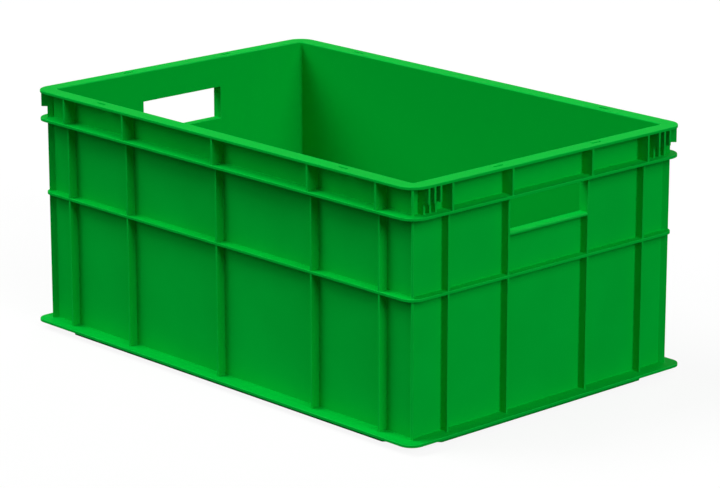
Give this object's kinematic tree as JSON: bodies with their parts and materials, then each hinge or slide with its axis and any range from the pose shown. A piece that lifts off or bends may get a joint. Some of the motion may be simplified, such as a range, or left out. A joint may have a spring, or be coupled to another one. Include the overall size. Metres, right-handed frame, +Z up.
{
  "type": "storage crate",
  "caption": "Straight-walled stackable plastic crate with ribbed walls, two outer belts, a flat rim with slots, hand holes in both ends and a low foot.",
  "frame": {"origin": "middle of the foot's underside, on the ground", "axes": "+X along the crate's length, +Y across it, +Z up; the right end is at +X and the front long side at -Y"},
  "size_m": [0.6, 0.4, 0.27],
  "materials": {
    "green_plastic": "satin moulded polypropylene, one even green"
  },
  "bodies": {
    "root": {"top_rim": "green_plastic", "upper_belt": "green_plastic", "middle_belt": "green_plastic", "base_flange": "green_plastic", "stacking_foot": "green_plastic", "floor_panel": "green_plastic", "floor_ribs": "green_plastic", "back_wall_lower": "green_plastic", "back_wall_middle": "green_plastic", "back_wall_upper": "green_plastic", "front_wall_lower": "green_plastic", "front_wall_middle": "green_plastic", "front_wall_upper": "green_plastic", "left_wall_lower": "green_plastic", "left_wall_middle": "green_plastic", "left_wall_upper": "green_plastic", "left_hand_hole_sill": "green_plastic", "left_comb_fin_1": "green_plastic", "left_comb_fin_2": "green_plastic", "left_comb_fin_3": "green_plastic", "left_comb_fin_4": "green_plastic", "left_comb_fin_5": "green_plastic", "left_comb_fin_6": "green_plastic", "right_wall_lower": "green_plastic", "right_wall_middle": "green_plastic", "right_wall_upper": "green_plastic", "right_hand_hole_sill": "green_plastic", "right_comb_fin_1": "green_plastic", "right_comb_fin_2": "green_plastic", "right_comb_fin_3": "green_plastic", "right_comb_fin_4": "green_plastic", "right_comb_fin_5": "green_plastic", "right_comb_fin_6": "green_plastic", "back_right_fin_lower": "green_plastic", "back_right_fin_middle": "green_plastic", "back_right_fin_upper": "green_plastic", "back_left_fin_lower": "green_plastic", "back_left_fin_middle": "green_plastic", "back_left_fin_upper": "green_plastic", "front_left_fin_lower": "green_plastic", "front_left_fin_middle": "green_plastic", "front_left_fin_upper": "green_plastic", "front_right_fin_lower": "green_plastic", "front_right_fin_middle": "green_plastic", "front_right_fin_upper": "green_plastic"}
  },
  "joints": []
}
